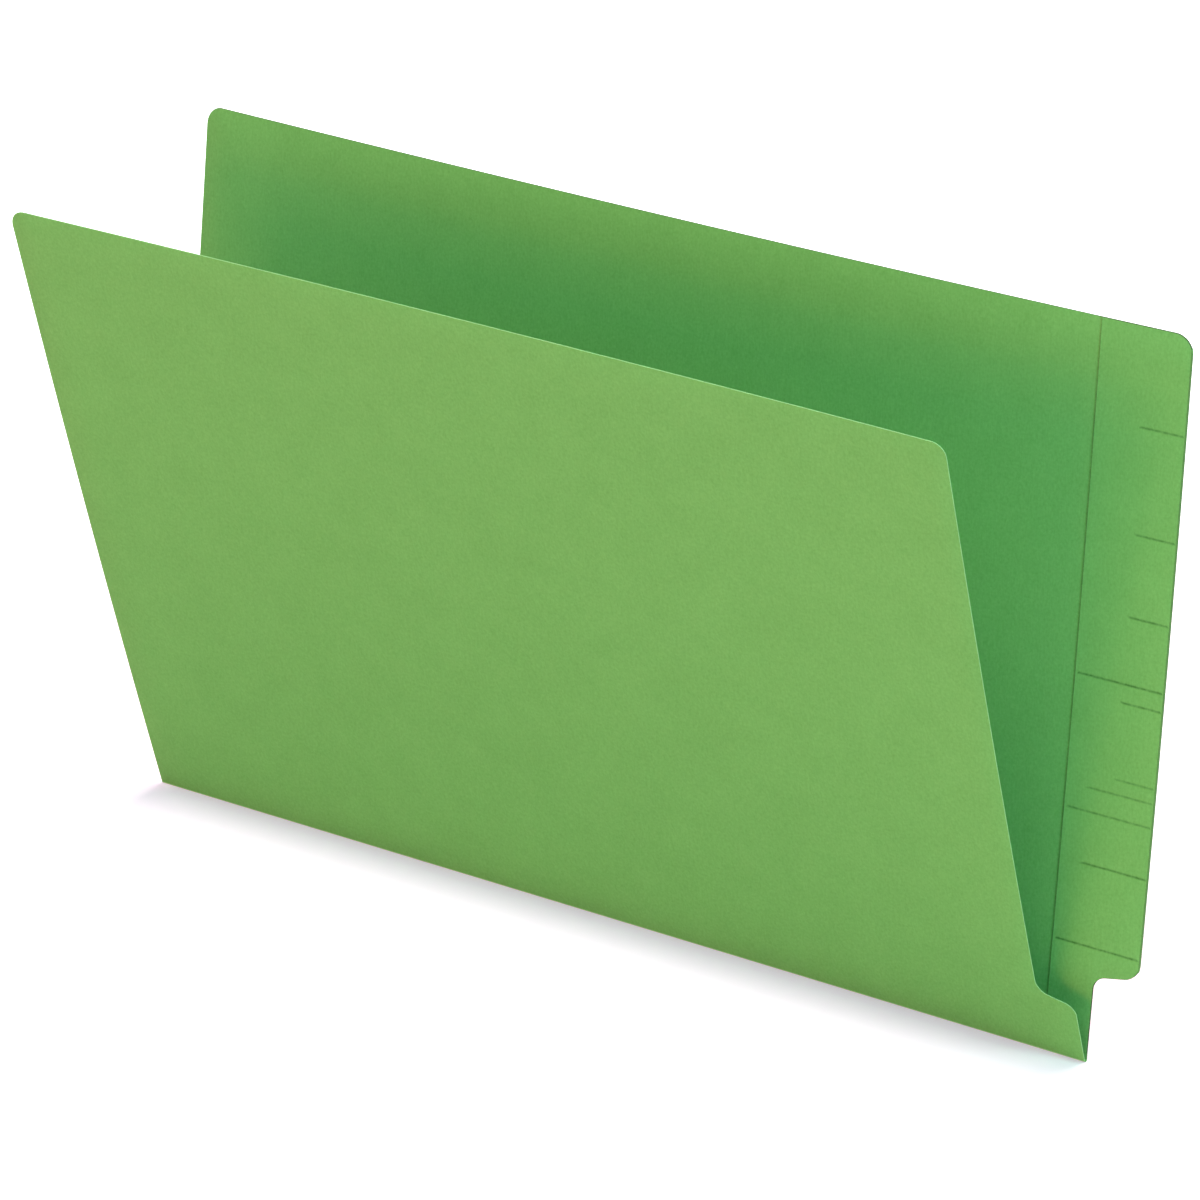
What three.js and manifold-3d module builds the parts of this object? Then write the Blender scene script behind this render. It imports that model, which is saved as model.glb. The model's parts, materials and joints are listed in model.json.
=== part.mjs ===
// Side tab folder for legal paper, standing open on its fold.
//
// The whole folder is one die-cut sheet of 11 point card, folded twice. The long fold at the
// bottom, the crease, joins the back leaf to the front leaf. The short fold at the right edge
// turns a strip of the back leaf inward over itself, and a film of paste holds it there, so
// that the side tab is two plies thick.
//
// Frame: +X along the crease toward the tab, -Y toward the front leaf, +Z up. The origin is
// the middle of the crease's underside, where the folder rests. Millimetres and degrees.

import * as THREE from 'three';
import { mergeVertices } from 'three/addons/utils/BufferGeometryUtils.js';
import Module from 'manifold-3d';

// The card
const stock = 0.28;               // thickness of one ply
const folderHeight = 241.3;       // underside of the crease to the top edges, folder shut
const bodyLength = 371.5;         // length of the crease
const cornerRadius = 6.35;        // top corners of both leaves and lower corner of the tab

// The crease
const creaseInnerRadius = 0.5;    // inside of the roll at the bottom fold
const restWidth = 0.6;            // flat that the roll rests on
const foldClearance = 0.05;       // between a rolled strip and the leaf that it runs into

// How far each leaf leans out from upright, and how it bows. Card that stands free is never
// quite flat: its lean changes along the crease and up to the top edge.
const backLean = 7.01;            // at the middle of the crease
const backTwist = -1.67;          // lean gained from there to the tab end, lost to the other
const backFlare = 0.89;           // lean gained toward both ends
const backCurl = -2.34;           // lean gained from the crease up to the top edge
const frontLean = 17.95;
const frontTwist = 0.62;
const frontFlare = 0.38;
const frontCurl = -2.31;

// The side tab and the step below it
const tabReach = 15.875;          // how far the tab stands out past the end of the crease
const tabFoot = 28.6;             // folder's underside to the tab's lower edge, at the body
const tabFootSlope = 11.5;        // rise of that edge toward the tab's outer corner
const tabFootFillet = 4.8;        // inner corner between the body and the tab

// The cut-back end of the front leaf and the foot that runs out under it
const undercut = 13.5;            // front leaf's end, short of the end of the crease
const frontFoot = 24;             // folder's underside to the top of the foot's outer end
const frontFootSlope = 12;        // fall of the foot's top toward its outer end
const frontFootFillet = 5;        // inner corner between the foot and the leaf's end
const frontFootRadius = 4.5;      // outer corner of the foot

// The inner ply of the tab and the paste that holds it
const plyWidth = 31.75;           // tab's outer edge to the ply's cut edge
const plyStart = 3;               // folder's underside to the ply's lower end
const pasteFilm = 0.08;           // thickness of the dried paste
const pasteClearance = 0.05;      // between the paste and each ply
const pasteMargin = 1.5;          // bare card around the paste

// Label guides: shallow lines pressed into the inner ply, level with the crease
const guideWidth = 0.5;
const guideDepth = 0.07;
const guideInset = 1.3;           // tab's outer edge to the outer end of each line
const longGuide = 30;             // length of the lines that run to the ply's cut edge
const longGuideFirst = 38.3;      // folder's underside to the lowest long line
const longGuidePitch = 44.2;
const longGuideCount = 3;
const middleGuide = 21.5;
const middleGuideHeights = [65.3, 90.4];
const shortGuide = 14;
const shortGuideHeights = [95.3, 120.6, 148.5, 175.2, 209.5];

// Modelling values
const arcSteps = 8;               // half the facets on each round corner
const bowColumns = 8;             // flat facets of the bow, along the crease
const bowRows = 6;                // and up the leaf
const cutOver = 1;                // how far stock and cutting solids run past a piece
const cutReach = 30;              // how far a cutting solid reaches through a bowed leaf

// Sizes that follow from those above
const creaseOuterRadius = creaseInnerRadius + stock;
const creaseHeight = Math.sqrt(creaseOuterRadius ** 2 - (restWidth / 2) ** 2);
const bodyEnd = bodyLength / 2;
const tabEdge = bodyEnd + tabReach;
const plyEdge = tabEdge - plyWidth;
const tabThickness = 2 * stock + pasteFilm + 2 * pasteClearance;
const rollRadius = tabThickness / 2;
const rollCentre = tabEdge - rollRadius;
const innerFace = creaseOuterRadius - tabThickness;
const leafStart = creaseOuterRadius + foldClearance;

const wasm = await Module();
wasm.setup();

function radians(degrees) {
  return THREE.MathUtils.degToRad(degrees);
}

// The same geometry with only its points, each of them once
function barePoints(geometry) {
  const bare = geometry.clone();
  bare.deleteAttribute('normal');
  bare.deleteAttribute('uv');
  return mergeVertices(bare, 1e-5);
}

// A solid for cutting and joining, from a closed three.js geometry
function toSolid(geometry) {
  const merged = barePoints(geometry);
  return new wasm.Manifold(new wasm.Mesh({
    numProp: 3,
    vertProperties: new Float32Array(merged.attributes.position.array),
    triVerts: new Uint32Array(merged.index.array),
  }));
}

// The three.js geometry of a cut solid
function toGeometry(solid) {
  const mesh = solid.getMesh();
  const geometry = new THREE.BufferGeometry();
  geometry.setAttribute('position', new THREE.BufferAttribute(mesh.vertProperties, 3));
  geometry.setIndex(new THREE.BufferAttribute(mesh.triVerts, 1));
  const faceted = geometry.toNonIndexed();
  faceted.computeVertexNormals();
  return faceted;
}

// A closed outline through corners { x, y, radius }, each turned by an arc that is tangent to
// its two sides. Corners run anticlockwise; an inner corner turns the other way by itself.
function roundedOutline(corners) {
  const shape = new THREE.Shape();
  const count = corners.length;
  corners.forEach((corner, index) => {
    const here = new THREE.Vector2(corner.x, corner.y);
    const before = corners[(index + count - 1) % count];
    const after = corners[(index + 1) % count];
    const back = new THREE.Vector2(before.x, before.y).sub(here).normalize();
    const ahead = new THREE.Vector2(after.x, after.y).sub(here).normalize();
    const radius = corner.radius ?? 0;
    const halfAngle = Math.acos(THREE.MathUtils.clamp(back.dot(ahead), -1, 1)) / 2;
    const reach = radius / Math.tan(halfAngle);
    const start = here.clone().addScaledVector(back, reach);
    if (index === 0) {
      shape.moveTo(start.x, start.y);
    } else {
      shape.lineTo(start.x, start.y);
    }
    if (radius > 0) {
      const end = here.clone().addScaledVector(ahead, reach);
      const middle = back.clone().add(ahead).normalize();
      const centre = here.clone().addScaledVector(middle, radius / Math.sin(halfAngle));
      const from = start.clone().sub(centre).angle();
      const to = end.clone().sub(centre).angle();
      const turnsRight = back.cross(ahead) > 0;
      shape.absarc(centre.x, centre.y, radius, from, to, turnsRight);
    }
  });
  return shape;
}

// A straight cutter through a leaf, to an outline that is drawn with x along the crease and y
// up from the folder's underside
function outlineCutter(outline) {
  const cutter = new THREE.ExtrudeGeometry(outline, {
    depth: 2 * cutReach,
    bevelEnabled: false,
    curveSegments: arcSteps,
  });
  cutter.rotateX(Math.PI / 2);
  cutter.translate(0, cutReach, 0);
  return toSolid(cutter);
}

// Everything across and above a place on a leaf, to keep one stretch of a sheet
function stretchBetween(lowX, highX, lowZ) {
  const highZ = folderHeight + cutOver;
  const box = new THREE.BoxGeometry(highX - lowX, 2 * cutReach, highZ - lowZ);
  box.translate((lowX + highX) / 2, 0, (lowZ + highZ) / 2);
  return toSolid(box);
}

// The stock that the pieces of a leaf are cut from runs past every one of them
const stockLeft = -bodyEnd - cutOver;
const stockRight = tabEdge + cutOver;
const stockFoot = -cutOver;
const stockTop = folderHeight + cutOver;

// The two of a row of evenly spaced lines that a place lies between, and its share of the way
function linesAround(place, first, last, spaces) {
  const pitch = (last - first) / spaces;
  const before = THREE.MathUtils.clamp(Math.floor((place - first) / pitch), 0, spaces - 1);
  const low = first + before * pitch;
  return [low, low + pitch, (place - low) / pitch];
}

// How one leaf bows. A point of the upright leaf, at z above the folder's underside and y from
// the crease's axis, moves with the sheet and keeps its distance from it. Between the lines of
// the bow's grid the sheet is flat, so that plies that lie face to face stay parallel.
function leafBow(side, twist, flare, curl) {
  const onSheet = (x, y, z) => {
    const along = x / bodyEnd;
    const height = z - creaseOuterRadius;
    const foot = radians(twist * along + flare * along ** 2);
    const turn = radians(curl) * height / folderHeight;
    return new THREE.Vector3(
      x,
      side * height * Math.sin(foot + turn / 2) + y * Math.cos(foot + turn),
      creaseOuterRadius + height * Math.cos(foot + turn / 2) - side * y * Math.sin(foot + turn),
    );
  };
  return (point) => {
    const [left, right, across] = linesAround(point.x, stockLeft, stockRight, bowColumns);
    const [low, high, up] = linesAround(point.z, stockFoot, stockTop, bowRows);
    const under = onSheet(left, point.y, low).lerp(onSheet(right, point.y, low), across);
    const over = onSheet(left, point.y, high).lerp(onSheet(right, point.y, high), across);
    return under.lerp(over, up);
  };
}

const backBow = leafBow(1, backTwist, backFlare, backCurl);
const frontBow = leafBow(-1, frontTwist, frontFlare, frontCurl);

// A solid whose every corner is moved with the bow of its leaf
function bowed(geometry, bow) {
  const bent = barePoints(geometry);
  const corners = bent.attributes.position;
  for (let index = 0; index < corners.count; index += 1) {
    const moved = bow(new THREE.Vector3().fromBufferAttribute(corners, index));
    corners.setXYZ(index, moved.x, moved.y, moved.z);
  }
  return toSolid(bent);
}

// A bowed sheet of stock, with its face toward +Y at the given distance from the crease's
// axis. Both faces are divided along the same lines, so that it is as thick everywhere.
function bowedSheet(bow, thickness, backFace) {
  const width = stockRight - stockLeft;
  const height = stockTop - stockFoot;
  const front = new THREE.PlaneGeometry(width, height, bowColumns, bowRows);
  front.rotateX(Math.PI / 2);
  front.translate(stockLeft + width / 2, backFace - thickness, stockFoot + height / 2);
  const back = front.clone().translate(0, thickness, 0);
  const count = front.attributes.position.count;
  const faces = [...front.index.array];
  faces.push(...faces.map((corner) => corner + count).reverse());

  const rowStep = bowColumns + 1;
  const rim = [];
  for (let column = 0; column < bowColumns; column += 1) {
    rim.push(column);
  }
  for (let row = 0; row < bowRows; row += 1) {
    rim.push(row * rowStep + bowColumns);
  }
  for (let column = bowColumns; column > 0; column -= 1) {
    rim.push(bowRows * rowStep + column);
  }
  for (let row = bowRows; row > 0; row -= 1) {
    rim.push(row * rowStep);
  }
  rim.forEach((here, place) => {
    const next = rim[(place + 1) % rim.length];
    faces.push(here, next, next + count, here, next + count, here + count);
  });

  const points = [...front.attributes.position.array, ...back.attributes.position.array];
  const sheet = new THREE.BufferGeometry();
  sheet.setAttribute('position', new THREE.Float32BufferAttribute(points, 3));
  sheet.setIndex(faces);
  return bowed(sheet, bow);
}

// Outline of the back leaf with its side tab, drawn in from its edges by a margin
function backOutline(margin = 0) {
  const slope = Math.tan(radians(tabFootSlope));
  const footLift = margin / Math.cos(radians(tabFootSlope));
  const bodyX = bodyEnd - margin;
  const tabX = tabEdge - margin;
  const footAt = (x) => tabFoot + footLift + (x - bodyEnd) * slope;
  return roundedOutline([
    { x: -bodyEnd + margin, y: leafStart + margin },
    { x: bodyX, y: leafStart + margin },
    { x: bodyX, y: footAt(bodyX), radius: tabFootFillet + margin },
    { x: tabX, y: footAt(tabX), radius: cornerRadius - margin },
    { x: tabX, y: folderHeight - margin, radius: cornerRadius - margin },
    { x: -bodyEnd + margin, y: folderHeight - margin, radius: cornerRadius - margin },
  ]);
}

// Outline of the front leaf, cut back at the tab end above its foot
function frontOutline() {
  const leafEnd = bodyEnd - undercut;
  const footRise = undercut * Math.tan(radians(frontFootSlope));
  return roundedOutline([
    { x: -bodyEnd, y: leafStart },
    { x: bodyEnd, y: leafStart },
    { x: bodyEnd, y: frontFoot, radius: frontFootRadius },
    { x: leafEnd, y: frontFoot + footRise, radius: frontFootFillet },
    { x: leafEnd, y: folderHeight, radius: cornerRadius },
    { x: -bodyEnd, y: folderHeight, radius: cornerRadius },
  ]);
}

// The back leaf ends where the roll at the tab's edge begins
function backLeafGeometry() {
  const flatPart = stretchBetween(stockLeft, rollCentre - foldClearance, stockFoot);
  const outline = outlineCutter(backOutline());
  const sheet = bowedSheet(backBow, stock, creaseOuterRadius);
  return toGeometry(sheet.intersect(outline).intersect(flatPart));
}

function frontLeafGeometry() {
  const sheet = bowedSheet(frontBow, stock, -creaseInnerRadius);
  return toGeometry(sheet.intersect(outlineCutter(frontOutline())));
}

// One pressed line: a shallow V that ends at the guide inset from the tab's edge
function guideCutter(height, length) {
  const half = guideWidth / 2;
  const groove = new THREE.Shape([
    new THREE.Vector2(-cutOver, -half),
    new THREE.Vector2(0, -half),
    new THREE.Vector2(guideDepth, 0),
    new THREE.Vector2(0, half),
    new THREE.Vector2(-cutOver, half),
  ]);
  const cutter = new THREE.ExtrudeGeometry(groove, { depth: length, bevelEnabled: false });
  cutter.rotateZ(Math.PI / 2);
  cutter.rotateY(Math.PI / 2);
  cutter.translate(tabEdge - guideInset - length, innerFace, height);
  return bowed(cutter, backBow);
}

// Every label guide as [height above the folder's underside, length]
function labelGuides() {
  const guides = [];
  for (let step = 0; step < longGuideCount; step += 1) {
    guides.push([longGuideFirst + step * longGuidePitch, longGuide]);
  }
  middleGuideHeights.forEach((height) => guides.push([height, middleGuide]));
  shortGuideHeights.forEach((height) => guides.push([height, shortGuide]));
  return guides;
}

// The strip that is turned inward over the tab, with the label guides pressed into it
function innerPlyGeometry() {
  const strip = stretchBetween(plyEdge, rollCentre - foldClearance, plyStart);
  const sheet = bowedSheet(backBow, stock, innerFace + stock);
  let ply = sheet.intersect(outlineCutter(backOutline())).intersect(strip);
  labelGuides().forEach(([height, length]) => {
    ply = ply.subtract(guideCutter(height, length));
  });
  return toGeometry(ply);
}

// The dried paste between the two plies, short of every edge of the inner one
function pasteGeometry() {
  const film = bowedSheet(backBow, pasteFilm, creaseInnerRadius - pasteClearance);
  const strip = stretchBetween(plyEdge + pasteMargin, stockRight, plyStart + pasteMargin);
  return toGeometry(film.intersect(outlineCutter(backOutline(pasteMargin))).intersect(strip));
}

// The card rolled over at the tab's outer edge: half a tube, trimmed at both round corners by
// the same outline as the two plies
function edgeRollGeometry() {
  const section = new THREE.Shape();
  const quarter = Math.PI / 2;
  section.absarc(0, 0, rollRadius, -quarter, quarter, false);
  section.absarc(0, 0, rollRadius - stock, quarter, -quarter, true);
  const tube = new THREE.ExtrudeGeometry(section, {
    depth: stockTop - stockFoot,
    steps: bowRows,
    bevelEnabled: false,
    curveSegments: arcSteps,
  });
  tube.translate(rollCentre, creaseOuterRadius - rollRadius, stockFoot);
  return toGeometry(bowed(tube, backBow).intersect(outlineCutter(backOutline())));
}

// The rolled strip at the bottom fold, from one leaf round to the other, flat where it rests.
// Its section is drawn with x toward the back and y up, round the crease's axis.
function creaseGeometry() {
  const frontEdge = -Math.PI + radians(frontLean);
  const backEdge = -radians(backLean);
  const bottom = -Math.PI / 2;
  const halfFlat = Math.asin(restWidth / 2 / creaseOuterRadius);
  const section = new THREE.Shape();
  section.absarc(0, 0, creaseOuterRadius, frontEdge, bottom - halfFlat, false);
  section.absarc(0, 0, creaseOuterRadius, bottom + halfFlat, backEdge, false);
  section.absarc(0, 0, creaseInnerRadius, backEdge, frontEdge, true);
  const roll = new THREE.ExtrudeGeometry(section, {
    depth: bodyLength,
    bevelEnabled: false,
    curveSegments: arcSteps,
  });
  roll.rotateZ(Math.PI / 2);
  roll.rotateY(Math.PI / 2);
  roll.translate(-bodyEnd, 0, 0);
  return roll;
}

const outerCard = new THREE.MeshStandardMaterial({ color: '#78a95a', roughness: 0.86, metalness: 0 });
const innerCard = new THREE.MeshStandardMaterial({ color: '#74a757', roughness: 0.88, metalness: 0 });
const foldedCard = new THREE.MeshStandardMaterial({ color: '#6f9f54', roughness: 0.8, metalness: 0 });
const driedPaste = new THREE.MeshStandardMaterial({ color: '#d9d3bb', roughness: 0.6, metalness: 0 });

function piece(name, geometry, material) {
  const mesh = new THREE.Mesh(geometry, material.clone());
  mesh.name = name;
  return mesh;
}

// Pieces drawn upright from the folder's underside, leaned about the crease's axis
function leaned(lean, pieces) {
  const upright = new THREE.Group();
  upright.position.z = -creaseOuterRadius;
  upright.add(...pieces);
  const leaf = new THREE.Group();
  leaf.rotation.x = radians(lean);
  leaf.add(upright);
  return leaf;
}

const backPieces = [
  piece('back_leaf', backLeafGeometry(), outerCard),
  piece('tab_paste', pasteGeometry(), driedPaste),
  piece('tab_inner_ply', innerPlyGeometry(), innerCard),
  piece('tab_edge_roll', edgeRollGeometry(), foldedCard),
];
const frontPieces = [piece('front_leaf', frontLeafGeometry(), outerCard)];

const folder = new THREE.Group();
folder.position.z = creaseHeight;
folder.add(piece('spine_crease', creaseGeometry(), foldedCard));
folder.add(leaned(-backLean, backPieces));
folder.add(leaned(frontLean, frontPieces));

const part = new THREE.Group();
part.add(folder);
part.updateMatrixWorld(true);

export default part;
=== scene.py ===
# %% [markdown]
# # A side tab folder, modelled and lit
#
# The object is a legal-size filing folder of green card. It is one die-cut sheet, folded twice:
# along the bottom, which makes the two leaves, and along the right edge, where a strip is turned
# in and pasted down so that the side tab is two plies thick. It stands open in a V on its fold.
#
# The folder's solids are loaded first, as a fixed frame. Every piece made below is dressed over
# one of them, in metres, and moves with the same body.

# %% Load the folder
import json
import math

import bpy
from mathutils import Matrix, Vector


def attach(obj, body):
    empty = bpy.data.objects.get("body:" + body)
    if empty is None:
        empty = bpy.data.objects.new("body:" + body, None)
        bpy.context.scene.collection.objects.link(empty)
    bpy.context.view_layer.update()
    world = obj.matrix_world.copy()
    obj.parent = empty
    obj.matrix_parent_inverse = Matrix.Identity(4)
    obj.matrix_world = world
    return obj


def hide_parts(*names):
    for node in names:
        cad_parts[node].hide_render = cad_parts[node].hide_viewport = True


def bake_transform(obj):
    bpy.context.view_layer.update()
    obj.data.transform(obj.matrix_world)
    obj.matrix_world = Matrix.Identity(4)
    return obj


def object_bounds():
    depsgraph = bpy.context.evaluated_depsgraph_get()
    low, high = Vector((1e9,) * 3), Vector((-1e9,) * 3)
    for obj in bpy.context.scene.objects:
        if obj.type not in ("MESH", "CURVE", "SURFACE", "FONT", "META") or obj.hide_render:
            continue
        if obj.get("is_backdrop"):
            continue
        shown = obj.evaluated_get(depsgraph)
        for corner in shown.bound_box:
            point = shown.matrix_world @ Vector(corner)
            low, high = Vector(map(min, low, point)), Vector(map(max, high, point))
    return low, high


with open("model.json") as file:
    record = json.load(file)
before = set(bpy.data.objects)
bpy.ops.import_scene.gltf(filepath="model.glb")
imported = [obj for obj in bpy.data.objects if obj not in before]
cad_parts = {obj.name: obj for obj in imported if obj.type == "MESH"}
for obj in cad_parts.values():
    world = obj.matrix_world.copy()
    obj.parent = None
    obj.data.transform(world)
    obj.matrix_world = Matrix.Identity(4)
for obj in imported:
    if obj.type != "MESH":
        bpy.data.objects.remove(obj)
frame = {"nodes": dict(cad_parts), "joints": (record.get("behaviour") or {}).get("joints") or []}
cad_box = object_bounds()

MM = 0.001
print("solids:", sorted(frame["nodes"]))
print("box in mm:", [[round(value / MM, 1) for value in corner] for corner in cad_box])

# %% [markdown]
# ## Sizes
#
# A folder is drawn flat, and these are the numbers that a die maker would use. Widths run along
# the fold from its middle, and heights run up a leaf from the folder's underside. The sheet is
# 11 point card, 0.28 mm thick. The leaves start a hair above the rolled fold, so that their feet
# stay apart when the folder lies open flat. The numbers stay together, so that pieces that meet
# are cut from the same values.

# %% Sizes of the folder
PLY = 0.28 * MM
CLEARANCE = 0.05 * MM
BODY_END = 371.5 / 2 * MM
TAB_REACH = 15.875 * MM
TAB_EDGE = BODY_END + TAB_REACH
TOP = 241.3 * MM
CORNER = 6.35 * MM
FOLD_RADIUS = 0.78 * MM
LEAF_START = FOLD_RADIUS + CLEARANCE
FOLD_AXIS = Vector(frame["joints"][0]["pos_m"])


def level(height):
    """The z of a height on an upright leaf, before it is leaned."""
    return FOLD_AXIS.z + height - FOLD_RADIUS


print("fold axis, mm above the floor:", round(FOLD_AXIS.z / MM, 2))

# %% [markdown]
# ## Camera
#
# The photograph was taken from the front right and a little above, from about two metres, so
# the edges hardly converge. The camera's place comes from fitting a pinhole camera to the
# folder's corners and edges. A long lens on a 36 mm sensor gives that flat perspective.

# %% Camera at the photograph's angle
TILT_DOWN = 22.906
TURN_TO_TAB = 34.540

lens = bpy.data.cameras.new("camera")
lens.lens = 169.76
lens.sensor_width = 36
lens.clip_end = 20
camera = bpy.data.objects.new("camera", lens)
camera.location = (0.95975, -1.39483, 0.82909)
camera.rotation_euler = (math.radians(90 - TILT_DOWN), 0, math.radians(TURN_TO_TAB))
bpy.context.scene.collection.objects.link(camera)
bpy.context.scene.camera = camera
print("camera to folder:", round(camera.location.length, 2), "m")

# %% [markdown]
# ## Helpers for picking and cutting
#
# Edit-mode operators act on whatever is selected. These helpers take one piece in hand, select
# its points by where they are, and cut it along a plane. Each later step then reads like a step
# at a bench: pick, move, cut, round.

# %% Helpers
CLOSE = 0.01 * MM


def take_in_hand(piece):
    bpy.ops.object.select_all(action="DESELECT")
    piece.select_set(True)
    bpy.context.view_layer.objects.active = piece


def pick(piece, wanted):
    """Opens the piece in edit mode with only the points that pass the test selected."""
    take_in_hand(piece)
    bpy.ops.object.mode_set(mode="EDIT")
    bpy.ops.mesh.select_mode(type="VERT")
    bpy.ops.mesh.select_all(action="DESELECT")
    bpy.ops.object.mode_set(mode="OBJECT")
    for point in piece.data.vertices:
        point.select = bool(wanted(point.co))
    bpy.ops.object.mode_set(mode="EDIT")


def put_down():
    bpy.ops.object.mode_set(mode="OBJECT")


def cut(piece, at, normal, drop_beyond=False):
    """Cuts the piece along a plane, and can drop what lies beyond it."""
    pick(piece, lambda co: True)
    unit_normal = Vector(normal).normalized()
    bpy.ops.mesh.bisect(plane_co=at, plane_no=unit_normal, clear_outer=drop_beyond)
    put_down()


def near(value, target, reach=CLOSE):
    return abs(value - target) < reach


# %% [markdown]
# ## A blank of card
#
# A die cuts the sheet flat, so each leaf starts as an upright rectangle with no thickness, facing
# the front. Its corners are rounded with a vertex bevel, which keeps both sides of the corner
# straight up to the arc, as a cutting rule does. A corner that isn't square gives its angle, so
# that the arc still has the radius asked for. Drawing the outline first and giving it thickness
# last means that every corner has to be rounded only once.

# %% Cut a rectangle, round a corner
SQUARE = 90


def rectangle(name, low, high, face):
    """A sheet from one (x, height) corner to another, lying at y = face."""
    bpy.ops.object.select_all(action="DESELECT")
    middle = ((low[0] + high[0]) / 2, face, level((low[1] + high[1]) / 2))
    upright = (math.radians(SQUARE), 0, 0)
    bpy.ops.mesh.primitive_plane_add(size=1, location=middle, rotation=upright)
    blank = bpy.context.object
    blank.name = blank.data.name = name
    bpy.ops.object.transform_apply(location=True, rotation=True, scale=True)
    pick(blank, lambda co: True)
    size = (high[0] - low[0], 1, high[1] - low[1])
    bpy.ops.transform.resize(value=size, center_override=middle)
    put_down()
    return blank


def round_corner(piece, x, height, radius, angle=SQUARE):
    """Rounds the outline's corner at (x, height), where two edges meet at that angle."""
    pick(piece, lambda co: near(co.x, x) and near(co.z, level(height)))
    reach = radius / math.tan(math.radians(angle) / 2)
    bpy.ops.mesh.bevel(offset=reach, segments=12, affect="VERTICES", profile=0.5)
    put_down()


def merge_flat(piece):
    """One face in place of several that lie flat side by side."""
    pick(piece, lambda co: True)
    bpy.ops.mesh.dissolve_limited(angle_limit=math.radians(0.5))
    put_down()


# %% [markdown]
# ## The back leaf's outline
#
# The back leaf carries the side tab: its right edge stands out past the end of the fold, and
# starts nearly 3 cm up the leaf, so that the fold's end stays clear. The tab is extruded from
# the edge of the rectangle. Its lower edge rises a little toward the outside, which is a shear
# that moving one corner gives, and the inner corner gets a fillet so that the card doesn't tear
# there.

# %% Back leaf with its tab
TAB_FOOT = 28.6 * MM
TAB_SLANT = 11.5
TAB_RISE = (TAB_EDGE - BODY_END) * math.tan(math.radians(TAB_SLANT))
TAB_FILLET = 4.8 * MM
BACK_FACE = 0.5 * MM

back_leaf = rectangle("back_leaf_card", (-BODY_END, LEAF_START), (BODY_END, TOP), BACK_FACE)
cut(back_leaf, (0, 0, level(TAB_FOOT)), (0, 0, 1))
pick(back_leaf, lambda co: near(co.x, BODY_END) and co.z > level(TAB_FOOT) - CLOSE)
bpy.ops.mesh.extrude_region_move(TRANSFORM_OT_translate={"value": (TAB_EDGE - BODY_END, 0, 0)})
put_down()
pick(back_leaf, lambda co: near(co.x, TAB_EDGE) and co.z < level(TOP / 2))
bpy.ops.transform.translate(value=(0, 0, TAB_RISE))
put_down()
merge_flat(back_leaf)
round_corner(back_leaf, -BODY_END, TOP, CORNER)
round_corner(back_leaf, TAB_EDGE, TOP, CORNER)
round_corner(back_leaf, TAB_EDGE, TAB_FOOT + TAB_RISE, CORNER, angle=SQUARE + TAB_SLANT)
round_corner(back_leaf, BODY_END, TAB_FOOT, TAB_FILLET, angle=SQUARE + TAB_SLANT)
print("back leaf outline:", len(back_leaf.data.vertices), "points")

# %% [markdown]
# ## The front leaf's outline
#
# The front leaf is cut back at the tab end, so that the tab's labels can be read, and runs out
# in a low foot that keeps the fold at full length. The foot is extruded from the short lower
# stretch of the leaf's right edge. The corner above the cut-back edge is a little tighter than
# the folder's other top corners.

# %% Front leaf with its foot
LEAF_END = BODY_END - 13.5 * MM
FOOT_TOP = 24 * MM
FOOT_SLANT = 12
FOOT_FALL = (BODY_END - LEAF_END) * math.tan(math.radians(FOOT_SLANT))
FOOT_FILLET = 5 * MM
FOOT_CORNER = 4.5 * MM
FRONT_FACE = -FOLD_RADIUS
FRONT_CORNER = 4.8 * MM

front_leaf = rectangle("front_leaf_card", (-BODY_END, LEAF_START), (LEAF_END, TOP), FRONT_FACE)
cut(front_leaf, (0, 0, level(FOOT_TOP + FOOT_FALL)), (0, 0, 1))
pick(front_leaf, lambda co: near(co.x, LEAF_END) and co.z < level(FOOT_TOP + 2 * FOOT_FALL))
bpy.ops.mesh.extrude_region_move(TRANSFORM_OT_translate={"value": (BODY_END - LEAF_END, 0, 0)})
put_down()
pick(front_leaf, lambda co: near(co.x, BODY_END) and co.z > level(FOOT_TOP / 2))
bpy.ops.transform.translate(value=(0, 0, -FOOT_FALL))
put_down()
merge_flat(front_leaf)
round_corner(front_leaf, -BODY_END, TOP, CORNER)
round_corner(front_leaf, LEAF_END, TOP, FRONT_CORNER)
round_corner(front_leaf, LEAF_END, FOOT_TOP + FOOT_FALL, FOOT_FILLET, angle=SQUARE + FOOT_SLANT)
round_corner(front_leaf, BODY_END, FOOT_TOP, FOOT_CORNER, angle=SQUARE + FOOT_SLANT)
print("front leaf outline:", len(front_leaf.data.vertices), "points")

# %% [markdown]
# ## The turned-in ply and its paste
#
# The strip that is turned in over the tab was cut to mirror the tab, so it has the same corners.
# It is a copy of the back leaf's outline, trimmed to a strip. A second copy, drawn in a little
# from every edge, is the film of paste between the two. The back leaf itself stops where the
# card begins to roll over at the tab's edge.

# %% Ply and paste from copies of the outline
TAB_THICKNESS = 0.74 * MM
ROLL_RADIUS = TAB_THICKNESS / 2
ROLL_START = TAB_EDGE - ROLL_RADIUS
PLY_WIDTH = 31.75 * MM
PLY_EDGE = TAB_EDGE - PLY_WIDTH
PLY_START = 3 * MM
PLY_FACE = 0.04 * MM
PASTE_FACE = 0.37 * MM
PASTE_MARGIN = 1.5 * MM


def copy_of(piece, name, face):
    """A copy of a flat sheet, moved to lie at y = face."""
    take_in_hand(piece)
    bpy.ops.object.duplicate()
    made = bpy.context.object
    made.name = made.data.name = name
    shift = face - piece.data.vertices[0].co.y
    pick(made, lambda co: True)
    bpy.ops.transform.translate(value=(0, shift, 0))
    put_down()
    return made


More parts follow.
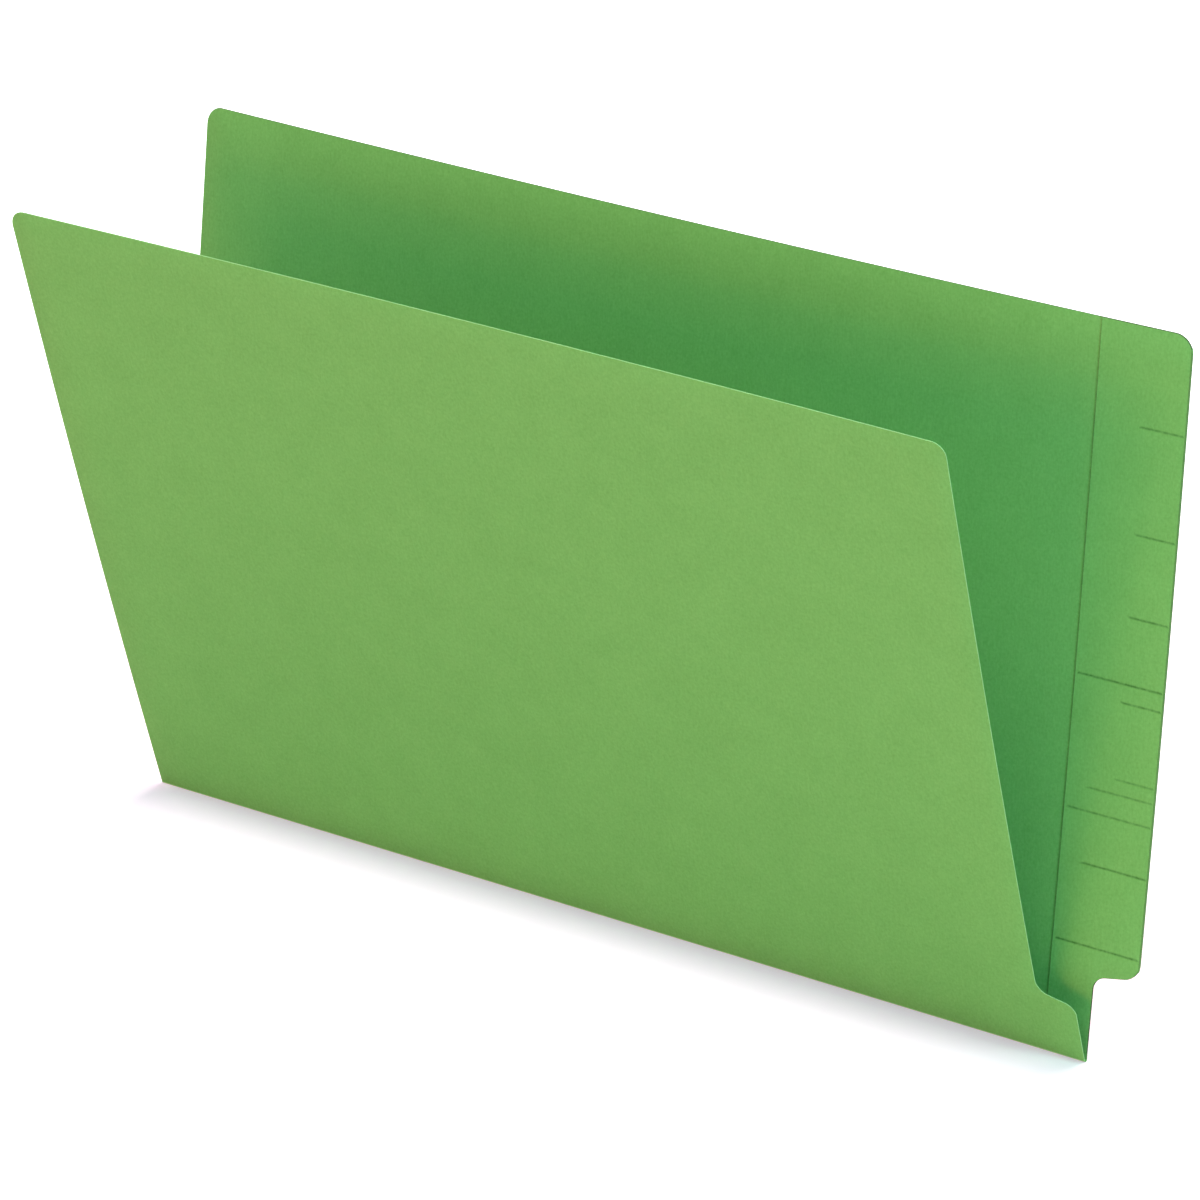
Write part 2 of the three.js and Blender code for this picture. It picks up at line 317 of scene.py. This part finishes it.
tab_ply = copy_of(back_leaf, "tab_ply_card", PLY_FACE)
cut(tab_ply, (PLY_EDGE, 0, 0), (-1, 0, 0), drop_beyond=True)
cut(tab_ply, (0, 0, level(PLY_START)), (0, 0, -1), drop_beyond=True)
paste = copy_of(tab_ply, "tab_paste_film", PASTE_FACE)
for sheet in (back_leaf, tab_ply, paste):
    cut(sheet, (ROLL_START, 0, 0), (1, 0, 0), drop_beyond=True)
pick(paste, lambda co: True)
bpy.ops.mesh.inset(thickness=PASTE_MARGIN, depth=0)
bpy.ops.mesh.select_all(action="INVERT")
bpy.ops.mesh.delete(type="VERT")
put_down()
for sheet in (tab_ply, paste):
    width, height = sheet.dimensions.x / MM, sheet.dimensions.z / MM
    print(sheet.name, round(width, 1), "mm wide,", round(height, 1), "mm high")

# %% [markdown]
# ## Ruling the sheets
#
# A single large face can't bend, so each sheet is ruled into cells about 12 mm wide. Cutting
# right across the outline keeps the rounded corners exactly as they were drawn. The back leaf
# gets five more columns close to the ply's edge, which carry painted shade. The ply itself is
# ruled in the next step, because its label guides and its lifted edge need points to hold them.

# %% Rule columns and rows
CELL = 12 * MM
PASTE_CELL = 8 * MM
LEAF_COLUMNS = (0.6, 0.2, -0.3, -0.8, -1.4)


def rule(piece, columns=(), rows=()):
    for x in columns:
        cut(piece, (x, 0, 0), (1, 0, 0))
    for z in rows:
        cut(piece, (0, 0, z), (0, 0, 1))


def steps(low, high, step):
    """The places between two ends that share the way out evenly, about a step apart."""
    count = max(1, round((high - low) / step))
    return [low + (high - low) * index / count for index in range(1, count)]


across = steps(-BODY_END, TAB_EDGE, CELL)
up = steps(level(FOLD_RADIUS), level(TOP), CELL)
beside_ply = [PLY_EDGE + reach * MM for reach in LEAF_COLUMNS]
rule(back_leaf, across + beside_ply, up)
rule(front_leaf, across, up)
rule(paste, steps(PLY_EDGE, ROLL_START, PASTE_CELL), up)
for sheet in (back_leaf, front_leaf, paste):
    print(sheet.name, "ruled into", len(sheet.data.polygons), "cells")

# %% [markdown]
# ## Where the label guides go
#
# Guide lines are pressed into the tab so that labels can be set square and level. There are
# three long ones, evenly spaced, that run nearly to the ply's edge, and shorter ones between.
# Each is given by its height and its length in mm and by how dark its painted shade is, because
# some show more than others. All of them end at the same inset from the tab's edge. The ply is
# ruled at the two sides and the middle of every line, where lines begin and end, and in four
# columns close to its own cut edge.

# %% Rule the ply at the label guides
GUIDE_WIDTH = 1.2 * MM
GUIDE_INSET = 1.3 * MM
GUIDE_ROOM = 1.5 * MM
SHORT, MEDIUM, LONG = 14, 21.5, 30
FIRST_LONG, LONG_APART = 38.3, 44.2
# Each guide: its height in mm, its length in mm, and the strength of its painted shade.
GUIDES = [(FIRST_LONG, LONG, 1)]
GUIDES += [(FIRST_LONG + LONG_APART, LONG, 0.75), (FIRST_LONG + 2 * LONG_APART, LONG, 1)]
GUIDES += [(65.3, MEDIUM, 1), (90.4, MEDIUM, 0.65), (95.3, SHORT, 0.55), (120.6, SHORT, 0.9)]
GUIDES += [(148.5, SHORT, 0.9), (175.2, SHORT, 0.85), (209.5, SHORT, 0.85)]
PLY_COLUMNS = (0.35, 0.8, 1.4, 2.4)
PLY_CELL = 2.2 * MM
guide_end = TAB_EDGE - GUIDE_INSET

ply_rows = list(up)
for height, length, shade_strength in GUIDES:
    ply_rows = [z for z in ply_rows if abs(z - level(height * MM)) > GUIDE_ROOM]
    ply_rows += [level(height * MM) + side * GUIDE_WIDTH / 2 for side in (-1, 0, 1)]
ply_columns = [guide_end] + [guide_end - length * MM for length in (SHORT, MEDIUM, LONG)]
ply_columns += [PLY_EDGE + reach * MM for reach in PLY_COLUMNS]
ply_columns += steps(PLY_EDGE + PLY_COLUMNS[-1] * MM, guide_end, PLY_CELL)
rule(tab_ply, ply_columns, ply_rows)
print("ply ruled into", len(tab_ply.data.polygons), "cells for", len(GUIDES), "guides")

# %% [markdown]
# ## Thickness and cut edges
#
# Solidify grows each sheet backwards from its front face to the thickness of the card, and puts
# the new rim in a second material slot, because a cut edge of card is paler and rougher than
# its face. A bevel of nearly half the thickness then rounds the rim over, as the die and then
# handling do, so that the rim shows from the front as a thin line of its own.

# %% Give the sheets their thickness
EDGE_ROUNDING = 0.12 * MM
PASTE_THICKNESS = 0.08 * MM


def thicken(piece, thickness, bevel=EDGE_ROUNDING, inside=0):
    """Rims take the second material, and so does the inside of a roll where inside is 1."""
    take_in_hand(piece)
    piece.data.materials.append(None)
    piece.data.materials.append(None)
    bpy.ops.object.modifier_add(type="SOLIDIFY")
    wall = piece.modifiers[-1]
    wall.thickness = thickness
    wall.offset = -1
    wall.material_offset_rim = 1
    wall.material_offset = inside
    bpy.ops.object.modifier_apply(modifier=wall.name)
    if bevel:
        bpy.ops.object.modifier_add(type="BEVEL")
        edge = piece.modifiers[-1]
        edge.width = bevel
        edge.segments = 2
        edge.limit_method = "ANGLE"
        edge.angle_limit = math.radians(50)
        edge.material = 1
        bpy.ops.object.modifier_apply(modifier=edge.name)
    bpy.ops.object.shade_smooth_by_angle(angle=math.radians(40))


for sheet in (back_leaf, front_leaf, tab_ply):
    thicken(sheet, PLY)
thicken(paste, PASTE_THICKNESS, bevel=0)
for sheet in (back_leaf, front_leaf, tab_ply, paste):
    print(sheet.name, len(sheet.data.polygons), "faces")

# %% [markdown]
# ## Pressing the guides
#
# A blunt rule presses each guide into the ply, which leaves a shallow V. Moving the middle row
# of points into the card makes the V. The same points are marked in an attribute, and the card's
# material darkens where the mark is: painted shade at the bottom of the V, with soft sides because
# the rows beside it stay unmarked.

# %% Press lines into the ply
GUIDE_DEPTH = 0.07 * MM


def mark_pressed(piece, shade_amount):
    """Marks the points that were picked last for painted shade, and says how many they are."""
    pressed = piece.data.attributes.get("pressed")
    if pressed is None:
        pressed = piece.data.attributes.new("pressed", "FLOAT", "POINT")
    picked = [point.index for point in piece.data.vertices if point.select]
    for index in picked:
        pressed.data[index].value = shade_amount
    return len(picked)


def press_guide(height, length, shade_strength):
    """Pushes a row of the ply's points into the card, and marks them for painted shade."""
    start = guide_end - length * MM

    def on_line(co):
        inside = start - CLOSE < co.x < guide_end + CLOSE
        return inside and near(co.z, level(height * MM)) and near(co.y, PLY_FACE, 2 * CLOSE)

    pick(tab_ply, on_line)
    bpy.ops.transform.translate(value=(0, GUIDE_DEPTH, 0))
    put_down()
    return mark_pressed(tab_ply, shade_strength)


points = sum(press_guide(*guide) for guide in GUIDES)
print("pressed", len(GUIDES), "guides,", points, "points")

# %% [markdown]
# ## The lifted edge of the ply
#
# The paste stops a little short of the ply's cut edge, so that it can't squeeze out, and that
# free margin stands off the leaf by the thickness of a hair. Light from the right then throws
# a fine dark line where the strip ends. Painted shade deepens that line: the columns on both
# sides of the step, nearly up to its top, are marked to take the darker green.
# Three nested moves, each of fewer columns than the last, give the margin its curl.

# %% Lift the ply's free margin
LIFTED = (1.4, 0.8, 0.35)
LIFT = 0.03 * MM
# Painted shade along the ply's edge, on the ply and on the leaf: reach from the edge in mm, and how
# dark.
EDGE_SHADE = ((0.8, 0.07), (0.35, 0.16), (0, 0.24))
LEAF_SHADE = ((0.2, 0.24), (-0.3, 0.24), (-0.8, 0.08))
UNSHADED_TOP = 8 * MM
shade_top = level(TOP - UNSHADED_TOP)

for reach in LIFTED:
    pick(tab_ply, lambda co: co.x < PLY_EDGE + reach * MM + CLOSE)
    bpy.ops.transform.translate(value=(0, -LIFT, 0))
    put_down()
for reach, shade_amount in EDGE_SHADE:
    pick(tab_ply, lambda co: co.x < PLY_EDGE + reach * MM + CLOSE and co.z < shade_top)
    put_down()
    mark_pressed(tab_ply, shade_amount)


def leaf_column(reach):
    """A test for the back leaf's inner face in one column beside the ply's edge."""
    def test(co):
        inside = near(co.x, PLY_EDGE + reach * MM) and level(PLY_START) < co.z < shade_top
        return inside and near(co.y, BACK_FACE, 2 * CLOSE)
    return test


for reach, shade_amount in LEAF_SHADE:
    pick(back_leaf, leaf_column(reach))
    put_down()
    mark_pressed(back_leaf, shade_amount)
lowest = min(point.co.y for point in tab_ply.data.vertices)
print("ply's edge stands", round((BACK_FACE - lowest) / MM, 2), "mm off the back leaf")

# %% [markdown]
# ## The rolled card: bottom fold and tab edge
#
# Where card is folded it doesn't crease to a line: it rolls round on a radius of about its own
# thickness. A roll is part of a tube, so both begin as a cylinder without ends. Cutting planes
# through its axis keep the arc that runs from one face to the next. A spin of the card's edge
# would give the same, but a cylinder is already closed, and needs only the cuts.

# %% A tube of card along an axis
def tube(name, middle, length, turn):
    """An open tube, where turn gives its radius and which way it lies."""
    bpy.ops.object.select_all(action="DESELECT")
    bpy.ops.mesh.primitive_cylinder_add(
        vertices=96, radius=turn["radius"], depth=length, end_fill_type="NOTHING",
        location=middle, rotation=turn["rotation"],
    )
    made = bpy.context.object
    made.name = made.data.name = name
    bpy.ops.object.transform_apply(location=True, rotation=True, scale=True)
    return made


# %% [markdown]
# ### The bottom fold
#
# The roll runs from the foot of one leaf round to the foot of the other, so each cutting plane
# holds the axis and the end of one leaf. It carries the folder's weight on a narrow flat, which
# comes from scaling the points that would lie below the floor flat onto it.

# %% Roll of the bottom fold
BACK_LEAN = math.radians(7.01)
FRONT_LEAN = math.radians(17.95)
along_x = {"radius": FOLD_RADIUS, "rotation": (0, math.radians(SQUARE), 0)}
fold_roll = tube("bottom_fold_card", FOLD_AXIS, 2 * BODY_END, along_x)
cut(fold_roll, FOLD_AXIS, (0, math.sin(BACK_LEAN), math.cos(BACK_LEAN)), drop_beyond=True)
cut(fold_roll, FOLD_AXIS, (0, -math.sin(FRONT_LEAN), math.cos(FRONT_LEAN)), drop_beyond=True)
rule(fold_roll, columns=across)
pick(fold_roll, lambda co: co.z < 0)
bpy.ops.transform.resize(value=(1, 1, 0), center_override=(0, 0, 0))
put_down()
thicken(fold_roll, PLY, bevel=0, inside=1)
print("bottom fold:", len(fold_roll.data.polygons), "faces")

# %% [markdown]
# ### The tab's outer edge
#
# The card turns right round here, from the back leaf to the inner ply, so half the tube stays.
# Its two ends follow the tab's rounded corners. At each end one slanting plane trims it, from
# where the corner's arc meets the straight edge to where the arc crosses the start of the roll.

# %% Roll of the tab's edge
roll_middle = Vector((ROLL_START, PLY + BACK_FACE - ROLL_RADIUS, level((TAB_FOOT + TOP) / 2)))
upward = {"radius": ROLL_RADIUS, "rotation": (0, 0, 0)}
edge_roll = tube("tab_edge_card", roll_middle, TOP - TAB_FOOT, upward)
cut(edge_roll, roll_middle, (-1, 0, 0), drop_beyond=True)
ARC_RISE = math.sqrt(CORNER**2 - (CORNER - ROLL_RADIUS) ** 2)
arc_top = TOP - CORNER
arc_foot = TAB_FOOT + TAB_RISE + CORNER / math.tan(math.radians(SQUARE + TAB_SLANT) / 2)
cut(edge_roll, (TAB_EDGE, 0, level(arc_top)), (ARC_RISE, 0, ROLL_RADIUS), drop_beyond=True)
cut(edge_roll, (TAB_EDGE, 0, level(arc_foot)), (ARC_RISE, 0, -ROLL_RADIUS), drop_beyond=True)
rule(edge_roll, rows=up)
thicken(edge_roll, PLY, bevel=0, inside=1)
height = edge_roll.dimensions.z / MM
print("tab's edge:", len(edge_roll.data.polygons), "faces,", round(height, 1), "mm high")

# %% [markdown]
# ## Leaning the leaves
#
# The sheets were made upright. Each now turns about the axis of the bottom fold: the back leaf
# and everything on its tab backwards, and the front leaf forwards.

# %% Lean both leaves about the fold
def lean(piece, angle):
    pick(piece, lambda co: True)
    bpy.ops.transform.rotate(
        value=angle, orient_axis="X", orient_type="GLOBAL", center_override=FOLD_AXIS
    )
    put_down()


on_back = (back_leaf, tab_ply, edge_roll, paste)
for piece in on_back:
    lean(piece, BACK_LEAN)
lean(front_leaf, -FRONT_LEAN)
print("back leaf's top at y", round(max(point.co.y for point in back_leaf.data.vertices) / MM, 1))
print("front leaf's top at y", round(min(point.co.y for point in front_leaf.data.vertices) / MM, 1))

# %% [markdown]
# ## The bow of real card
#
# Card is never quite flat. Both leaves curl back toward upright along their height, their left
# and right ends lean differently, which twists them, and both ends lean out a little more than
# the middle. Those angles come from the same fit as the camera. A lattice is a soft cage round a
# piece: moving its points bends whatever is inside, smoothly, so one cage bows the back leaf,
# the ply, the paste and the roll alike, and they stay pressed together.

# %% Cages that bow the leaves
BACK_BOW = {"side": 1, "lean": BACK_LEAN, "twist": -1.67, "flare": 0.89, "curl": -2.34}
FRONT_BOW = {"side": -1, "lean": FRONT_LEAN, "twist": 0.62, "flare": 0.38, "curl": -2.31}
CAGE_X, CAGE_OUT, CAGE_HEIGHT = 0.008, 0.04, 0.12
CAGE_SIZE = (0.46, 0.2, 0.3)


def bowed(bow, along, height):
    """How far out and how high a bowed leaf is, at a distance up the leaf from the fold's axis."""
    foot = bow["lean"] + math.radians(bow["twist"] * along + bow["flare"] * along**2)
    middle = foot + math.radians(bow["curl"]) * height / TOP / 2
    return height * math.sin(middle), height * math.cos(middle)


def cage(name, bow):
    """A lattice round one leaf, with its points moved to where the bow carries them."""
    bpy.ops.object.select_all(action="DESELECT")
    middle = (CAGE_X, bow["side"] * CAGE_OUT, CAGE_HEIGHT)
    bpy.ops.object.add(type="LATTICE", location=middle)
    made = bpy.context.object
    made.name = made.data.name = name
    made.data.points_u, made.data.points_v, made.data.points_w = 19, 1, 13
    made.scale = CAGE_SIZE
    bpy.context.view_layer.update()
    for point in made.data.points:
        place = made.matrix_world @ point.co
        height = (place.z - FOLD_AXIS.z) / math.cos(bow["lean"])
        out, high = bowed(bow, place.x / BODY_END, height)
        flat_out = height * math.sin(bow["lean"])
        shift = Vector((0, bow["side"] * (out - flat_out), high + FOLD_AXIS.z - place.z))
        point.co_deform = made.matrix_world.inverted() @ (place + shift)
    return made


back_cage = cage("back_cage", BACK_BOW)
front_cage = cage("front_cage", FRONT_BOW)
print("each cage has", len(back_cage.data.points), "points")

# %% [markdown]
# ### Bending in the cages
#
# The lattice is a modifier, so it could stay live. Here it is applied and the cages are taken
# away, because the folder keeps its bow from now on and only turns about its fold.

# %% Bow the leaves in their cages
def bow_in(piece, soft_cage):
    take_in_hand(piece)
    bpy.ops.object.modifier_add(type="LATTICE")
    bend = piece.modifiers[-1]
    bend.object = soft_cage
    bpy.ops.object.modifier_apply(modifier=bend.name)


for piece in on_back:
    bow_in(piece, back_cage)
bow_in(front_leaf, front_cage)
for soft_cage in (back_cage, front_cage):
    bpy.data.objects.remove(soft_cage)
for leaf in (back_leaf, front_leaf):
    out = [point.co.y / MM for point in leaf.data.vertices]
    print(leaf.name, "y from", round(min(out), 1), "to", round(max(out), 1))

# %% [markdown]
# ## Green card
#
# Coloured card is dyed in the pulp, so both faces and the cut edge are green all through. Close
# up it isn't one colour: the fibres settle in soft clouds a centimetre or two wide, a finer
# grain of about a millimetre lies over them, and single fibres show as short flecks. Noise
# textures of three sizes mix two greens that are close together. They read Object coordinates,
# so they stay on the card. The grain also drives a very small bump, and the shader is rough with
# little gloss, because the card is uncoated.

# %% Helpers for materials
def as_light(share):
    """How much light a screen gives for a share of its full level, by the sRGB curve."""
    return share / 12.92 if share < 0.0405 else ((share + 0.055) / 1.055) ** 2.4


def colour(red, green, blue):
    """The shader's colour for a colour given as it looks, from 0 to 255."""
    return [as_light(value / 255) for value in (red, green, blue)] + [1]


def noise(tree, scale, detail, roughness, stretch=(1, 1, 1)):
    """Noise on the piece itself, with grains about 1/scale metres wide."""
    place = tree.nodes.new("ShaderNodeTexCoord")
    mapping = tree.nodes.new("ShaderNodeMapping")
    mapping.inputs["Scale"].default_value = stretch
    texture = tree.nodes.new("ShaderNodeTexNoise")
    texture.inputs["Scale"].default_value = scale
    texture.inputs["Detail"].default_value = detail
    texture.inputs["Roughness"].default_value = roughness
    tree.links.new(place.outputs["Object"], mapping.inputs["Vector"])
    tree.links.new(mapping.outputs["Vector"], texture.inputs["Vector"])
    return texture.outputs["Fac"]


def remap(tree, value, source, target=(0, 1)):
    """Spreads a value from one range over another."""
    made = tree.nodes.new("ShaderNodeMapRange")
    names = ("From Min", "From Max", "To Min", "To Max")
    for name, limit in zip(names, (*source, *target)):
        made.inputs[name].default_value = limit
    tree.links.new(value, made.inputs["Value"])
    return made.outputs["Result"]


def combine(tree, operation, first, second):
    made = tree.nodes.new("ShaderNodeMath")
    made.operation = operation
    tree.links.new(first, made.inputs[0])
    tree.links.new(second, made.inputs[1])
    return made.outputs["Value"]


def mix(tree, share, first, second):
    """A colour between two, each given as numbers or as another node's output."""
    made = tree.nodes.new("ShaderNodeMix")
    made.data_type = "RGBA"
    tree.links.new(share, made.inputs[0])
    for socket, tint in ((made.inputs[6], first), (made.inputs[7], second)):
        if isinstance(tint, list):
            socket.default_value = tint
        else:
            tree.links.new(tint, socket)
    return made.outputs[2]


# %% The card's material
def card(name, dark, light, roughness=0.85, grain_depth=0.02 * MM, pressed=None):
    """Card between two greens, with a darker one painted as shade where the piece is marked for it.
    """
    made = bpy.data.materials.new(name)
    made.use_nodes = True
    tree = made.node_tree
    shader = tree.nodes["Principled BSDF"]
    shader.inputs["Roughness"].default_value = roughness
    shader.inputs["Specular IOR Level"].default_value = 0.25
    soft = noise(tree, scale=75, detail=2, roughness=0.5)
    grain = noise(tree, scale=1100, detail=2, roughness=0.6)
    flecks = noise(tree, scale=500, detail=1, roughness=0.4, stretch=(5, 1, 0.8))
    clouds = remap(tree, soft, (0.3, 0.7), (0, 0.15))
    specks = remap(tree, grain, (0.25, 0.75), (0, 0.58))
    fibres = remap(tree, flecks, (0.35, 0.65), (0, 0.2))
    share = combine(tree, "ADD", combine(tree, "ADD", clouds, specks), fibres)
    tint = mix(tree, share, dark, light)
    if pressed:
        # Painted shade: where the attribute is set, the card takes the darker green.
        shade_amount = tree.nodes.new("ShaderNodeAttribute")
        shade_amount.attribute_name = "pressed"
        patches = noise(tree, scale=600, detail=2, roughness=0.6)
        uneven = remap(tree, patches, (0.35, 0.65), (0.45, 1))
        tint = mix(tree, combine(tree, "MULTIPLY", shade_amount.outputs["Fac"], uneven), tint, pressed)
    tree.links.new(tint, shader.inputs["Base Color"])
    bump = tree.nodes.new("ShaderNodeBump")
    bump.inputs["Strength"].default_value = 0.5
    bump.inputs["Distance"].default_value = grain_depth
    tree.links.new(grain, bump.inputs["Height"])
    tree.links.new(bump.outputs["Normal"], shader.inputs["Normal"])
    return made


LEAF_GREENS = (colour(110, 160, 81), colour(132, 182, 100))
green_card = card("green_card", *LEAF_GREENS)
# The darker green is painted shade along the label guides and the ply's edge.
tab_card = card("tab_card", *LEAF_GREENS, pressed=colour(62, 108, 44))
print("card materials:", green_card.name, tab_card.name)

# %% [markdown]
# ## Cut edges, rolled card and paste
#
# Where the die cuts the card, the fibres stand open: the rim is paler and rougher than the face.
# The back leaf's rim and the ply's rim are greyer and darker: painted shade along those edges.
# The roll along the tab's edge is a darker green. The bottom fold is paler: partly the broken
# fibres of card stretched round the roll, partly a painted highlight along the fold. The paste
# dries to a dull cream film, and can only be seen in the gap along the edges of the tab.

# %% Materials for edges, folds and paste
cut_card = card("cut_card", colour(150, 196, 124), colour(170, 212, 146), 0.95, 0.04 * MM)
# Painted shade: the rim of the back leaf and of the ply is greyer and darker.
shaded_rim_card = card("shaded_rim_card", colour(68, 86, 50), colour(84, 104, 62), 0.95, 0.04 * MM)
# A darker green for the roll of the tab's edge.
dark_roll_card = card("dark_roll_card", colour(92, 126, 66), colour(108, 142, 80), 0.75, 0.01 * MM)
# Pale fold: worn fibres with a painted highlight on top.
fold_wear_and_highlight = card("fold_wear_and_highlight", colour(168, 206, 146), colour(186, 220, 164), 0.75, 0.01 * MM)
dried_paste = card("dried_paste", colour(214, 207, 182), colour(226, 220, 198), 0.6, 0.01 * MM)


def finish_with(piece, face, rim):
    """Gives a piece the materials of its face and its rim."""
    piece.data.materials[0] = face
    piece.data.materials[1] = rim


finish_with(back_leaf, tab_card, shaded_rim_card)
finish_with(front_leaf, green_card, cut_card)
finish_with(tab_ply, tab_card, shaded_rim_card)
finish_with(fold_roll, fold_wear_and_highlight, green_card)
finish_with(edge_roll, dark_roll_card, green_card)
finish_with(paste, dried_paste, dried_paste)
print("materials:", len(bpy.data.materials))

# %% [markdown]
# ## Moving with the folder
#
# Each piece stands for one of the folder's solids and rides on its body, so that the front leaf
# can shut and open. The roll of the bottom fold lies between the two bodies and rides on
# neither: its place is baked into its points, so it stays where it is.

# %% Ride on the bodies
for piece, node in (
    (back_leaf, "back_leaf"),
    (tab_ply, "tab_inner_ply"),
    (edge_roll, "tab_edge_roll"),
    (paste, "tab_paste"),
):
    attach(piece, "back_panel")
    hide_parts(node)
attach(front_leaf, "front_panel")
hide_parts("front_leaf")
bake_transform(fold_roll)
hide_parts("spine_crease")
print("on the back panel:", [piece.name for piece in on_back])
print("on the front panel:", front_leaf.name, "and between the two:", fold_roll.name)

# %% [markdown]
# ## Floor
#
# The folder was photographed on white paper that was lit until it turned pure white, with only a
# short soft shadow left beside the fold. A wide pale floor stands for the paper. What the
# camera sees of it is raised by a glow that only camera rays meet, so the paper goes white
# while the folder gets no more light from it. More light on the scene would whiten the paper
# too, but would bleach the card with it. The glow is weakest along the front of the fold, where
# the shadow lies, and grows away from it over the ranges below, which are in metres from the
# middle of the fold. Beyond about half a metre the glow alone makes the paper white.

# %% Floor
FLOOR_WIDTH = 12
SHADOW_GLOW = [0.21, 0.07, 0.15, 1]
WHITE_GLOW = [0.57, 0.27, 0.41, 1]
FAR_GLOW = [1, 1, 1, 1]
BEHIND_FOLD = (0, 0.02)
IN_FRONT = (-0.004, -0.022)
PAST_LEFT_END = (-0.178, -0.192)
FAR_AWAY = (0.3, 0.7)

bpy.ops.object.select_all(action="DESELECT")
bpy.ops.mesh.primitive_plane_add(size=FLOOR_WIDTH, location=(0, 0, 0))
floor = bpy.context.object
floor.name = floor.data.name = "floor"
white = bpy.data.materials.new("white_paper")
white.use_nodes = True
tree = white.node_tree
paper = tree.nodes["Principled BSDF"]
paper.inputs["Base Color"].default_value = (0.98, 0.9, 0.92, 1)
paper.inputs["Roughness"].default_value = 0.9
paper.inputs["Specular IOR Level"].default_value = 0
place = tree.nodes.new("ShaderNodeTexCoord")
axes = tree.nodes.new("ShaderNodeSeparateXYZ")
tree.links.new(place.outputs["Object"], axes.inputs[0])
behind_fold = remap(tree, axes.outputs["Y"], BEHIND_FOLD)
in_front = remap(tree, axes.outputs["Y"], IN_FRONT)
past_left_end = remap(tree, axes.outputs["X"], PAST_LEFT_END)
away = combine(tree, "MAXIMUM", combine(tree, "MAXIMUM", behind_fold, in_front), past_left_end)
near_glow = mix(tree, away, SHADOW_GLOW, WHITE_GLOW)
distance = tree.nodes.new("ShaderNodeVectorMath")
distance.operation = "LENGTH"
tree.links.new(place.outputs["Object"], distance.inputs[0])
far = remap(tree, distance.outputs["Value"], FAR_AWAY)
tree.links.new(mix(tree, far, near_glow, FAR_GLOW), paper.inputs["Emission Color"])
ray = tree.nodes.new("ShaderNodeLightPath")
tree.links.new(ray.outputs["Is Camera Ray"], paper.inputs["Emission Strength"])
floor.data.materials.append(white)
floor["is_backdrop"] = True
print("floor:", floor.dimensions.x, "m wide")

# %% [markdown]
# ## Light
#
# Two low warm softboxes in front, and a paler one high on the left, light the outside of the
# front leaf evenly. A large cool one on the right reaches the tab and fades toward the inside. A
# narrow strip overhead hangs almost in line with the lean of the front leaf, so the leaf keeps
# its light off only the last centimetre of floor in front of the fold: that is the short shadow.
# A nearly white box behind lights the back. Warm in front and cool inside is what makes the card
# turn from yellow-green outside to a deeper blue-green between the leaves. Area lights were
# chosen over point lights for their soft edges. Each is given by its place, its size in metres,
# its power in watts and its colour, and faces the middle of the folder.

# %% Lights
MIDDLE = Vector((0, 0, 0.12))
REACH = 2.3


def around(azimuth, elevation):
    """A place round the folder, in degrees: azimuth from straight in front toward the tab."""
    turn, rise = math.radians(azimuth), math.radians(elevation)
    flat = REACH * math.cos(rise)
    return MIDDLE + Vector((flat * math.sin(turn), -flat * math.cos(turn), REACH * math.sin(rise)))


def softbox(name, place, size, power, tint):
    """A rectangular area light that faces the middle of the folder."""
    lamp = bpy.data.lights.new(name, "AREA")
    lamp.shape = "RECTANGLE"
    lamp.size, lamp.size_y = size
    lamp.energy = power
    lamp.color = tint
    made = bpy.data.objects.new(name, lamp)
    made.location = place
    made.rotation_euler = (MIDDLE - Vector(place)).to_track_quat("-Z", "Y").to_euler()
    bpy.context.scene.collection.objects.link(made)


softbox("low_front", around(0, 4), size=(0.8, 0.5), power=11.6, tint=(1, 0.5, 0.23))
softbox("low_left", around(-15, 12), size=(0.8, 0.5), power=9.5, tint=(1, 0.5, 0.36))
softbox("high_left", around(-40, 50), size=(0.8, 0.8), power=9.7, tint=(0.97, 0.71, 1))
softbox("right", around(60, 20), size=(0.8, 1.0), power=22.8, tint=(0.28, 0.75, 1))
softbox("overhead_strip", (0.1, -0.57, 2.12), size=(1.4, 0.25), power=25.2, tint=(0.5, 1, 0.85))
softbox("behind", (0.3, 1.1, 1.9), size=(1.6, 1.2), power=42, tint=(1, 0.97, 0.86))

# %% [markdown]
# ## Air and view
#
# In a studio a little light comes from everywhere, off the walls and the paper. A world colour
# gives that, and it is very dim. Its blue-green is what the shaded inside of the leaves shows in
# the photograph. The camera is shown plain white instead, so the background joins the white
# paper without a horizon. The Standard view shows colours as they are, so full white stays white.

# %% Studio air, and the standard view
AIR_COLOUR = (0.15, 1, 0.85, 1)
AIR_STRENGTH = 0.08

world = bpy.data.worlds.new("studio")
world.use_nodes = True
tree = world.node_tree
air = tree.nodes["Background"]
air.inputs["Color"].default_value = AIR_COLOUR
air.inputs["Strength"].default_value = AIR_STRENGTH
seen = tree.nodes.new("ShaderNodeBackground")
seen.inputs["Color"].default_value = (1, 1, 1, 1)
seen.inputs["Strength"].default_value = 1
ray = tree.nodes.new("ShaderNodeLightPath")
choice = tree.nodes.new("ShaderNodeMixShader")
tree.links.new(ray.outputs["Is Camera Ray"], choice.inputs[0])
tree.links.new(air.outputs[0], choice.inputs[1])
tree.links.new(seen.outputs[0], choice.inputs[2])
tree.links.new(choice.outputs[0], tree.nodes["World Output"].inputs["Surface"])
bpy.context.scene.world = world
bpy.context.scene.view_settings.view_transform = "Standard"
print("view transform:", bpy.context.scene.view_settings.view_transform)

# %% [markdown]
# ## Sizes at the end
#
# Both boxes, of the solids and of the dressed folder, are printed in mm. The dressed folder
# has to stay the size of its solids.

# %% Print the boxes and finish
boxes = {
    "cad": [list(corner) for corner in cad_box],
    "visual": [list(corner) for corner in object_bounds()],
}
for name, corners in boxes.items():
    print(name, [[round(value / MM, 1) for value in corner] for corner in corners])
